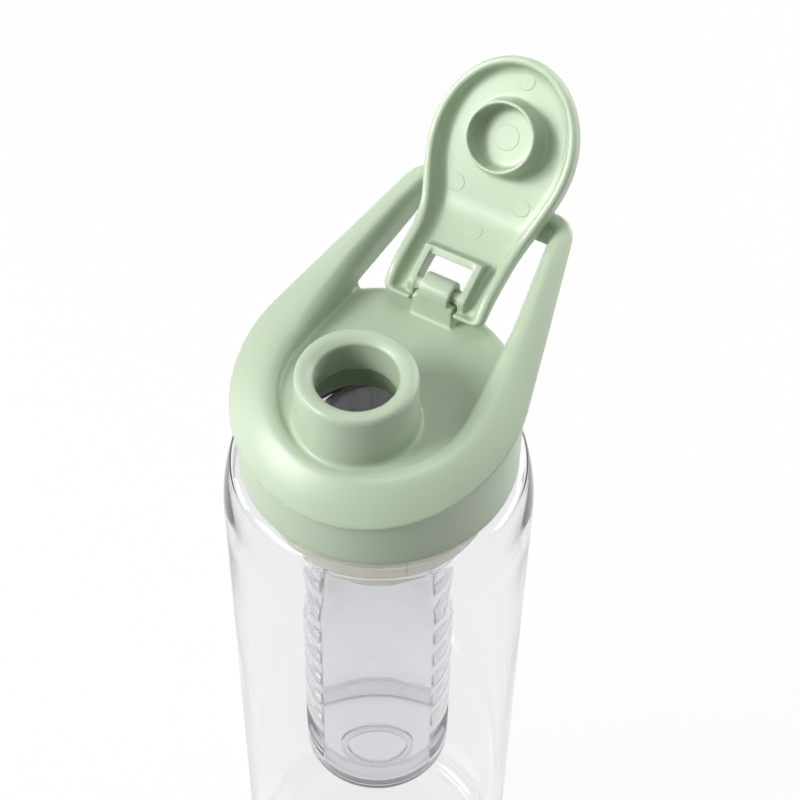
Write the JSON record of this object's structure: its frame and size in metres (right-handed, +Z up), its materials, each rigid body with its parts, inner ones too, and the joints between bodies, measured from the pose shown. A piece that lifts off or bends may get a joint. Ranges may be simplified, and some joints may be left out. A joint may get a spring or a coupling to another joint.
{
  "type": "fruit infuser water bottle",
  "caption": "Clear water bottle with a screw lid, drinking spout, hinged flip cap, slanted carrying loop and a slotted fruit infuser tube hung from a collar in the neck.",
  "frame": {"origin": "centre of the foot ring's plane, under the bottle's axis", "axes": "+Z up along the bottle's axis, +Y to the back where the hinge and loop are, +X to the right"},
  "size_m": [0.073, 0.1071, 0.2672],
  "materials": {
    "clear_body": "clear polished",
    "lid_green": "matte sage green",
    "seal_silicone": "satin silicone",
    "collar_beige": "glossy warm grey",
    "clear_infuser": "clear polished"
  },
  "bodies": {
    "bottle": {"bottle_body": "clear_body", "infuser_collar": "collar_beige", "collar_seal": "seal_silicone"},
    "seal": {"lid_seal": "seal_silicone"},
    "lid": {"lid_body": "lid_green"},
    "cap": {"flip_cap": "lid_green"},
    "infuser": {"infuser_tube": "clear_infuser"},
    "infuser_foot": {"infuser_end_cap": "clear_infuser"}
  },
  "joints": [
    {"name": "lid_rise", "type": "slide", "parent": "bottle", "child": "seal", "axis": [0, 0, 1], "range_m": [0, 0.006]},
    {"name": "lid_turn", "type": "hinge", "parent": "seal", "child": "lid", "pos_m": [0, 0, 0.2], "axis": [0, 0, 1], "range_deg": [0, 540]},
    {"name": "cap_flip", "type": "hinge", "parent": "lid", "child": "cap", "pos_m": [0, 0.0268, 0.2288], "axis": [1, 0, 0], "range_deg": [0, 129.49]},
    {"name": "infuser_turn", "type": "hinge", "parent": "bottle", "child": "infuser", "pos_m": [0, 0, 0.2008], "axis": [0, 0, 1], "range_deg": [0, 60]},
    {"name": "infuser_foot_turn", "type": "hinge", "parent": "infuser", "child": "infuser_foot", "pos_m": [0, 0, 0.0772], "axis": [0, 0, 1], "range_deg": [0, 60]}
  ],
  "couplings": [
    {"joint": "lid_rise", "follows": "lid_turn", "m_per_rad": 0.00063662}
  ]
}
